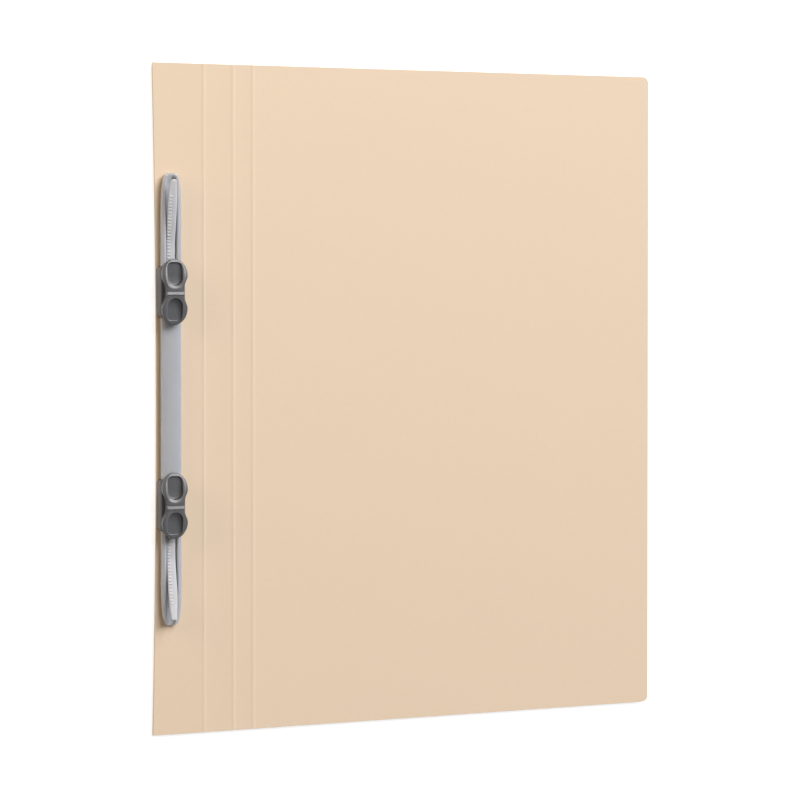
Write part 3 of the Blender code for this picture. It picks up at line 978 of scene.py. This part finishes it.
def bar_section(bar, place):
    """The bar's section at a place along it, as a closed line from the middle of its underside."""
    away = abs(place)
    end = BAR_HIGH.y
    full = (BAR_HIGH.x - BAR_LOW.x) / 2
    top = BAR_HIGH.z - BAR_LOW.z
    half = full * rounded((away - end + bar.taper) / bar.taper, bar.fullness)
    trough_root = end + bar.trough_overrun - bar.taper
    trough = bar.trough_width / 2 * rounded((away - trough_root) / bar.taper, bar.fullness)
    foot = max(half - bar.undercut, half * LEAST_FOOT)
    slot = min(bar.slot_width / 2, foot * SLOT_IN_FOOT)
    rail = smooth_step(half - trough, 0.0, bar.rail_nose)
    radius = min(bar.edge_radius, half / 4) * max(rail, LEAST_RADIUS)
    inner_radius = bar.inner_radius * radius / bar.edge_radius
    trough = min(trough, half - radius - INNER_ROOM * inner_radius)
    open_share = smooth_step(away, bar.trough_start - bar.floor, bar.trough_start)

    def crowned(across):
        return top - bar.crown * (across / full) ** 2

    def railed(across):
        return bar.floor + (crowned(across) - bar.floor) * max(rail, LEAST_RAIL)

    rail_top = railed(half)
    rail_in = railed(trough)
    under = min(bar.foot_height, rail_top / 2)
    soft = min(radius, (rail_top - under) / 3)
    right = [(0.0, 0.0), (slot, 0.0), (foot - soft / 2, 0.0), (foot, soft / 2), (foot, under)]
    right += [(half - soft / 2, under), (half, under + soft / 2)]
    for angle in spread(0.0, math.pi / 2, ROUND_STEPS):
        right.append((half - soft + soft * math.cos(angle), rail_top - soft + soft * math.sin(angle)))
    inner = []
    for angle in spread(0.0, math.pi / 2, ROUND_STEPS):
        across = trough + inner_radius * (1 - math.sin(angle))
        inner.append((across, rail_in - inner_radius * (1 - math.cos(angle))))
    inner += [(trough, bar.floor + soft / 3), (trough - soft / 3, bar.floor)]
    inner += [(min(slot, trough * SLOT_IN_TROUGH), bar.floor), (0.0, bar.floor)]
    for across, height in inner:
        right.append((across, crowned(across) + (height - crowned(across)) * open_share))
    left = [(-across, height) for across, height in reversed(right[1:-1])]
    return {count: Vector((across, place, height)) for count, (across, height) in enumerate(right + left)}


def cut_slot(shape, bar, side, post_y):
    """Opens the slot in the trough's floor by joining it to the underside."""
    middle_y = side * (post_y - bar.slot_lead + bar.slot_length / 2)
    chosen = []
    for face in shape.faces:
        middle = face.calc_center_median()
        near = abs(middle.y - middle_y) < bar.slot_length / 4 and abs(middle.x) < bar.slot_width / 2
        if near and (middle.z < SAME or abs(middle.z - bar.floor) < SAME):
            chosen.append(face)
    rims = rim_of(chosen)
    bmesh.ops.delete(shape, geom=chosen, context="FACES")
    bmesh.ops.bridge_loops(shape, edges=rims)


class FOLDER_OT_bar(Operator):
    """Model the compressor bar with its open troughs"""

    bl_idname = "folder.bar"
    bl_label = "Compressor Bar"

    def execute(self, context):
        bar = context.scene.folder_bar
        post_y = context.scene.folder_prongs.post_spacing / 2
        stations = bar_stations(bar, post_y)
        shape = new_shape()
        line = first_line(shape, bar_section(bar, stations[0]), closed=True)
        ends = list(line)
        for place in stations[1:]:
            line = next_line(shape, line, bar_section(bar, place))
        for loop in (ends, line):
            bmesh.ops.contextual_create(shape, geom=loop)
        for side in (-1, 1):
            cut_slot(shape, bar, side, post_y)
        bmesh.ops.translate(shape, verts=shape.verts, vec=(FASTENER_X, 0.0, BAR_LOW.z))
        finish = plastic_finish(
            "satin_bar", bar.plastic_colour, worn_share=0.15, smooth=0.34, rough=0.44, milky=0.9
        )
        piece = finished(shape, "compressor_bar_strip", finish)
        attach(piece, "binding")
        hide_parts("compressor_bar")
        return {"FINISHED"}


# Sliders


def arch_height(sliders, along):
    """Height of the pad's arched top, which falls from its waist to its ends."""
    crest = SLIDER_HIGH.z - SLIDER_LOW.z - sliders.rib_rise
    return crest - sliders.arch_drop * (along / (sliders.pad_length / 2)) ** 2


def waisted_line(sliders, width, end):
    """A quarter of a figure-of-eight outline, from its end to its waist."""
    half = width / 2
    line = []
    for angle in spread(math.pi / 2, 0.0, LOBE_STEPS):
        across, along = curve_point(angle, half, end / 2 - sliders.lobe, PAD_END_POWERS)
        line.append(Vector((across, sliders.lobe + along)))
    sides = spread(sliders.lobe, sliders.strip_half, SIDE_STEPS)[1:]
    for along in sides + spread(sliders.strip_half, 0.0, STRIP_STEPS)[1:]:
        narrowing = math.cos(math.pi / 2 * (along / sliders.lobe) ** WAIST_POWER) ** 2
        line.append(Vector((half - sliders.pad_waist * narrowing, along)))
    return line


def pad_line(sliders, inset):
    """A quarter of the pad's outline, moved inwards by an inset."""
    return inset_line(waisted_line(sliders, sliders.pad_width, sliders.pad_length), inset)


def neck_line(sliders, spread_by):
    """A quarter of the neck's outline, moved outwards."""
    return inset_line(waisted_line(sliders, sliders.neck_width, sliders.neck_length), -spread_by)


def inset_line(line, inset):
    """A quarter outline moved inwards, square to itself, and kept square to both middle lines."""
    moved = []
    for count, here in enumerate(line):
        before = line[count - 1] if count else Vector((-line[1].x, line[1].y))
        after = line[count + 1] if count + 1 < len(line) else Vector((line[-2].x, -line[-2].y))
        along = (after - before).normalized()
        moved.append(here + Vector((along.y, -along.x)) * inset)
    return moved


def dimple_line(sliders):
    """Half of a dimple's outline: nearly square at the pad's end and drawn to a point at its waist."""
    half = sliders.pad_width / 2 - sliders.dimple_side
    outward, inward = dimple_reaches(sliders)
    stretches = [(angle, outward, DIMPLE_END_POWERS) for angle in spread(math.pi / 2, 0.0, LOBE_STEPS)]
    for angle in spread(0.0, -math.pi / 2, SIDE_STEPS + WAIST_STEPS)[1:]:
        stretches.append((angle, inward, DIMPLE_POINT_POWERS))
    line = []
    for angle, reach, powers in stretches:
        across, along = curve_point(angle, half, reach, powers)
        line.append(Vector((across, sliders.lobe + along)))
    return line


def dimple_reaches(sliders):
    """How far a dimple reaches from the lobe's middle, towards the pad's end and towards its waist."""
    outward = sliders.pad_length / 2 - sliders.dimple_end - sliders.lobe
    return outward, sliders.lobe - sliders.dimple_point


def towards_point(sliders, edge):
    """1 at a dimple's inner end, falling to 0 at its sides."""
    inward = dimple_reaches(sliders)[1]
    return max(0.0, (sliders.lobe - edge.y) / inward) ** 2


def rim_slope(sliders, edge):
    """Width and height of the slope into a dimple at a point of its edge, least at its outer end."""
    outward = dimple_reaches(sliders)[0]
    inner = smooth_step(towards_point(sliders, edge), *POINT_ZONE)
    kept = 1 - END_LOSS * smooth_step((edge.y - sliders.lobe) / outward, *END_ZONE)
    width = sliders.side_slope + (sliders.point_slope - sliders.side_slope) * inner
    fall = sliders.side_fall + (sliders.point_fall - sliders.side_fall) * inner
    return width * kept, fall * kept


def bowl_point(sliders, edge, size):
    """A point of a dimple between its middle, at size 0, and its edge, at size 1."""
    spot = Vector((edge.x * size, sliders.lobe + (edge.y - sliders.lobe) * size))
    floor = arch_height(sliders, 0.0) - sliders.dimple_depth
    floor += sliders.floor_rise * towards_point(sliders, spot) ** FLOOR_POWER
    brink = arch_height(sliders, edge.y) - rim_slope(sliders, edge)[1]
    return Vector((spot.x, spot.y, floor + (brink - floor) * size**sliders.steepness))


def shoulder_fall(sliders, across, at_side):
    """How far the pad's edge lies below the arch at a distance from its middle line."""
    return at_side * sliders.shoulder_drop * (across / (sliders.pad_width / 2)) ** 2


def rim_line(sliders, edge, end, at_side):
    """Points of the pad's top from a dimple's edge, up its slope and on to the outline or the waist."""
    width, fall = rim_slope(sliders, edge)
    crest = min(WIDEST_SLOPE, width / (end - edge).length)
    shoulder = shoulder_fall(sliders, end.x, at_side)
    line = []
    for step in range(RIM_RINGS + 1):
        part = step / SLOPE_RINGS - 1
        if part < 0:
            place, drop = crest * (1 + part), fall * abs(part) ** SLOPE_POWER
        else:
            part *= SLOPE_RINGS / (RIM_RINGS - SLOPE_RINGS)
            place, drop = crest + (1 - crest) * part, shoulder * part**SHOULDER_POWER
        spot = edge.lerp(end, place)
        line.append(Vector((spot.x, spot.y, arch_height(sliders, spot.y) - drop)))
    return line


def pad_top(shape, sliders):
    """A quarter of the pad's upper face: a dimple, its rim and the plain strip across the waist."""
    number = shape.verts.layers.int["number"]
    inner = dimple_line(sliders)
    outline = pad_line(sliders, sliders.pad_edge)
    corner = LOBE_STEPS + SIDE_STEPS
    across_waist = spread(1.0, 0.0, WAIST_STEPS)[1:]
    waist = outline[corner].x
    outer = outline[: corner + 1] + [Vector((waist * part, sliders.strip_half)) for part in across_waist]
    waist_numbers = range(len(outline), len(outline) + WAIST_STEPS)
    numbers = [*range(corner + 1), *waist_numbers]
    waist_sides = [smooth_step(part, *SHOULDER_ZONE) for part in across_waist]
    sides = [1.0] * (corner + 1) + waist_sides

    def bowl(size):
        return {count: bowl_point(sliders, edge, size) for count, edge in zip(numbers, inner)}

    seed = bowl(DIMPLE_SEED)
    line = first_line(shape, seed, closed=False)
    middle = shape.verts[:]
    for step in range(1, DIMPLE_RINGS):
        line = next_line(shape, line, bowl(1 - (1 - step / DIMPLE_RINGS) ** RING_POWER))
    spokes = {count: rim_line(sliders, *ends) for count, *ends in zip(numbers, inner, outer, sides)}
    for step in range(RIM_RINGS + 1):
        ring = {count: spoke[step] for count, spoke in spokes.items()}
        line = next_line(shape, line, ring, wear=1.0 - step / RIM_RINGS)
    bmesh.ops.pointmerge(shape, verts=middle, merge_co=seed[0])

    heights = {count: place.z for count, place in ring.items()}
    at_waist = {corner, *waist_numbers}
    line = [edge for edge in line if all(v[number] in at_waist for v in edge.verts)]
    for step in range(1, STRIP_STEPS + 1):
        end = outline[corner + step]
        row = {}
        strip = zip([corner + step - 1, *waist_numbers], [1.0, *across_waist], [1.0, *waist_sides])
        for count, part, side in strip:
            height = arch_height(sliders, end.y) - shoulder_fall(sliders, end.x, side)
            row[count] = Vector((end.x * part, end.y, height))
        line = next_line(shape, line, row)
        for edge in line:
            for made in edge.verts:
                if made[number] == corner + step - 1:
                    made[number] = corner + step
        heights[corner + step] = row[corner + step - 1].z
    return heights


def waist_rib(sliders):
    """The rounded rib across the pad's waist."""
    shape = new_shape()
    bmesh.ops.create_cube(shape, size=1.0)
    top = SLIDER_HIGH.z - SLIDER_LOW.z
    size = (sliders.rib_length, sliders.rib_width, 2 * sliders.rib_width)
    bmesh.ops.scale(shape, verts=shape.verts, vec=size)
    bmesh.ops.translate(shape, verts=shape.verts, vec=(0.0, -sliders.rib_offset, top - sliders.rib_width))
    back = [v for v in shape.verts if v.co.z > top - SAME and v.co.y > -sliders.rib_offset]
    bmesh.ops.translate(shape, verts=back, vec=(0.0, 0.0, -sliders.rib_slope))
    rub_edges(shape, sliders.rib_width * RIB_SOFTNESS, RIB_WEAR)
    return shape


def pad_side(shape, sliders, heights):
    """The pad's rounded side, its underside and the neck that spreads on to the foot."""
    number = shape.verts.layers.int["number"]
    count = LOBE_STEPS + SIDE_STEPS + STRIP_STEPS + 1
    line = []
    for edge in shape.edges:
        one, two = [corner[number] for corner in edge.verts]
        if edge.is_boundary and one != two and max(one, two) < count:
            line.append(edge)

    def ring(places, height_of):
        return {key: Vector((place.x, place.y, height_of(key))) for key, place in enumerate(places)}

    edge, heel = sliders.pad_edge, sliders.pad_heel
    for angle in spread(0.0, math.pi / 2, ROUND_STEPS)[1:]:
        drop = edge * (1 - math.cos(angle))
        places = pad_line(sliders, edge * (1 - math.sin(angle)))
        line = next_line(shape, line, ring(places, lambda key: heights[key] - drop))
    for angle in spread(0.0, math.pi / 2, ROUND_STEPS):
        height = sliders.pad_bottom + heel * (1 - math.sin(angle))
        places = pad_line(sliders, heel * (1 - math.cos(angle)))
        line = next_line(shape, line, ring(places, lambda key: height))
    gap = sliders.pad_bottom - sliders.flange_top
    for angle in spread(0.0, math.pi, 2 * ROUND_STEPS):
        height = sliders.flange_top + gap * (1 + math.cos(angle)) / 2
        places = neck_line(sliders, sliders.neck_flare * (1 - math.sin(angle)))
        line = next_line(shape, line, ring(places, lambda key: height))
    sunk = sliders.flange_top - sliders.flange_softness
    next_line(shape, line, ring(neck_line(sliders, sliders.neck_flare), lambda key: sunk))


def finger_pad(sliders):
    """The finger pad on its neck, from one quarter mirrored twice."""
    shape = new_shape()
    pad_side(shape, sliders, pad_top(shape, sliders))
    for axis in ("X", "Y"):
        bmesh.ops.mirror(shape, geom=everything(shape), merge_dist=SAME, axis=axis)
    rim = [edge for edge in shape.edges if edge.is_boundary]
    bmesh.ops.contextual_create(shape, geom=rim)
    return shape


def cut_off(shape, place, normal):
    """Cuts the shape with a plane, drops what lies beyond it and closes the cut."""
    cut = bmesh.ops.bisect_plane(
        shape, geom=everything(shape), dist=SAME, plane_co=place, plane_no=normal, clear_outer=True
    )["geom_cut"]
    bmesh.ops.contextual_create(shape, geom=only(bmesh.types.BMEdge, cut))


def flange(sliders):
    """The foot that wraps round the bar's rails, with lips under them."""
    half, top, slope = sliders.flange_width / 2, sliders.flange_top, sliders.flange_shoulder
    room, roof = sliders.channel_width / 2, sliders.channel_top
    gap, lip = sliders.lip_gap / 2, sliders.lip_height
    right = [(gap, 0.0), (half, 0.0), (half - sliders.flange_lean, top - slope), (half - slope, top)]
    inside = [(room, roof), (room, lip), (gap, lip)]
    outline = right + [(-x, z) for x, z in reversed(right)] + [(-x, z) for x, z in reversed(inside)] + inside
    end = sliders.flange_length / 2
    shape = new_shape()
    face = shape.faces.new([shape.verts.new((x, -end, z)) for x, z in outline])
    pushed = bmesh.ops.extrude_face_region(shape, geom=[face])["geom"]
    bmesh.ops.translate(shape, verts=only(bmesh.types.BMVert, pushed), vec=(0.0, 2 * end, 0.0))
    bmesh.ops.recalc_face_normals(shape, faces=shape.faces)
    for along in (-1, 1):
        cut_off(shape, (0.0, along * (end - slope), top), (0.0, along, 1.0))
        for across in (-1, 1):
            cut_off(shape, (across * half, along * (end - sliders.flange_corner), 0.0), (across, along, 0.0))
    rub_edges(shape, sliders.flange_softness, FOOT_WEAR)
    return shape


def make_slider(name):
    """A lock that slides along the bar's rails, with two finger dimples on its arched pad."""
    sliders = bpy.context.scene.folder_sliders
    low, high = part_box(f"{name}_slider")
    shape = finger_pad(sliders)
    bmesh.ops.recalc_face_normals(shape, faces=shape.faces)
    absorb(shape, waist_rib(sliders))
    absorb(shape, flange(sliders))
    bmesh.ops.translate(shape, verts=shape.verts, vec=(FASTENER_X, (low.y + high.y) / 2, low.z))
    finish = plastic_finish(
        "satin_slider", sliders.plastic_colour, worn_share=0.05, smooth=0.24, rough=0.34
    )
    piece = finished(shape, f"{name}_sliding_lock", finish)
    even_shading(piece)
    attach(piece, f"{name}_lock")
    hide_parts(f"{name}_slider")


class FOLDER_OT_sliders(Operator):
    """Model the two sliding locks"""

    bl_idname = "folder.sliders"
    bl_label = "Sliders"

    def execute(self, context):
        make_slider("upper")
        make_slider("lower")
        return {"FINISHED"}


# Stage


def seen_directly(tree, mirrored):
    """1 for rays from the camera, and mirrored for those that reflect or pass on what the camera sees."""
    path = add_node(tree, "ShaderNodeLightPath").outputs
    total = path["Is Camera Ray"]
    for name in ("Is Glossy Ray", "Is Transmission Ray"):
        total = calculate(tree, "MAXIMUM", total, calculate(tree, "MULTIPLY", path[name], mirrored))
    return total


def floor_finish(stage):
    """A pale matte floor that reads as white, keeps its shadows and is clear from below."""
    material = bpy.data.materials.new("pale_floor")
    material.use_nodes = True
    tree = material.node_tree
    shader = tree.nodes["Principled BSDF"]
    shader.inputs["Base Color"].default_value = (*stage.floor_colour, 1.0)
    shader.inputs["Roughness"].default_value = 0.9
    shader.inputs["Specular IOR Level"].default_value = 0.0
    strength = calculate(tree, "MULTIPLY", seen_directly(tree, stage.floor_mirrored), stage.floor_glow)
    glow = add_node(tree, "ShaderNodeEmission", Strength=strength).outputs[0]
    lit = joined(tree, "ShaderNodeAddShader", shader.outputs[0], glow)
    below = add_node(tree, "ShaderNodeNewGeometry").outputs["Backfacing"]
    clear = add_node(tree, "ShaderNodeBsdfTransparent").outputs[0]
    sided = joined(tree, "ShaderNodeMixShader", below, lit, clear)
    feed(tree, tree.nodes["Material Output"].inputs["Surface"], sided)
    return material


def make_floor(stage):
    """The floor that the folder lies on."""
    shape = bmesh.new()
    bmesh.ops.create_grid(shape, x_segments=1, y_segments=1, size=stage.floor_size / 2)
    mesh = bpy.data.meshes.new("floor")
    shape.to_mesh(mesh)
    shape.free()
    mesh.materials.append(floor_finish(stage))
    floor = placed("floor", mesh)


def make_lamp(name, power, tint, size, place):
    """A soft square lamp that faces the folder."""
    lamp = bpy.data.lights.new(name, "AREA")
    lamp.energy = power
    lamp.color = tint
    lamp.size = size
    item = placed(name, lamp)
    item.location = place
    item.rotation_euler = (-Vector(place)).to_track_quat("-Z", "Y").to_euler()


def make_sky(stage):
    """Even light from all round, seen as white."""
    world = bpy.data.worlds.new("studio")
    world.use_nodes = True
    tree = world.node_tree
    seen = seen_directly(tree, 1.0)
    level = add_node(tree, "ShaderNodeMapRange", Value=seen, To_Min=stage.sky_strength, To_Max=1.0)
    back = tree.nodes["Background"]
    back.inputs["Color"].default_value = (1.0, 1.0, 1.0, 1.0)
    feed(tree, back.inputs["Strength"], level.outputs["Result"])
    bpy.context.scene.world = world


def make_camera(stage):
    """The camera that takes the picture."""
    lens = bpy.data.cameras.new("camera")
    lens.lens = stage.camera_lens
    lens.shift_y = stage.camera_shift
    camera = placed("camera", lens)
    camera.location = stage.camera_place
    camera.rotation_euler = stage.camera_turn
    bpy.context.scene.camera = camera


class FOLDER_OT_stage(Operator):
    """Set up the floor, the light and the camera"""

    bl_idname = "folder.stage"
    bl_label = "Stage"

    def execute(self, context):
        stage = context.scene.folder_stage
        make_floor(stage)
        make_lamp("key_light", stage.key_power, stage.key_colour, stage.key_size, stage.key_place)
        make_lamp("fill_light", stage.fill_power, stage.fill_colour, stage.fill_size, stage.fill_place)
        make_sky(stage)
        make_camera(stage)
        context.scene.view_settings.view_transform = "Standard"
        return {"FINISHED"}


class FOLDER_PT_sidebar(Panel):
    """Lists the folder's pieces and their sizes"""

    bl_label = "Report Folder"
    bl_idname = "FOLDER_PT_sidebar"
    bl_space_type = "VIEW_3D"
    bl_region_type = "UI"
    bl_category = "Folder"

    def draw(self, context):
        for step in OPERATORS:
            self.layout.operator(step.bl_idname)
        for name, group in SETTINGS.items():
            box = self.layout.box()
            box.label(text=group.__doc__)
            for key in group.__annotations__:
                box.prop(getattr(context.scene, name), key)


SETTINGS = {
    "folder_covers": FolderCovers,
    "folder_prongs": FolderProngs,
    "folder_bar": FolderBar,
    "folder_sliders": FolderSliders,
    "folder_stage": FolderStage,
}
OPERATORS = (
    FOLDER_OT_back_cover,
    FOLDER_OT_front_cover,
    FOLDER_OT_base,
    FOLDER_OT_prongs,
    FOLDER_OT_bar,
    FOLDER_OT_sliders,
    FOLDER_OT_stage,
)
CLASSES = (*SETTINGS.values(), *OPERATORS, FOLDER_PT_sidebar)


def register():
    """Adds the classes and their settings to Blender."""
    for item in CLASSES:
        bpy.utils.register_class(item)
    for name, group in SETTINGS.items():
        setattr(bpy.types.Scene, name, PointerProperty(type=group))


def unregister():
    """Takes the classes and their settings out of Blender again."""
    for name in SETTINGS:
        delattr(bpy.types.Scene, name)
    for item in reversed(CLASSES):
        bpy.utils.unregister_class(item)


def main():
    """Models every piece and sets up the stage."""
    register()
    bpy.ops.folder.back_cover()
    bpy.ops.folder.front_cover()
    bpy.ops.folder.base()
    bpy.ops.folder.prongs()
    bpy.ops.folder.bar()
    bpy.ops.folder.sliders()
    bpy.ops.folder.stage()


if __name__ == "__main__":
    main()
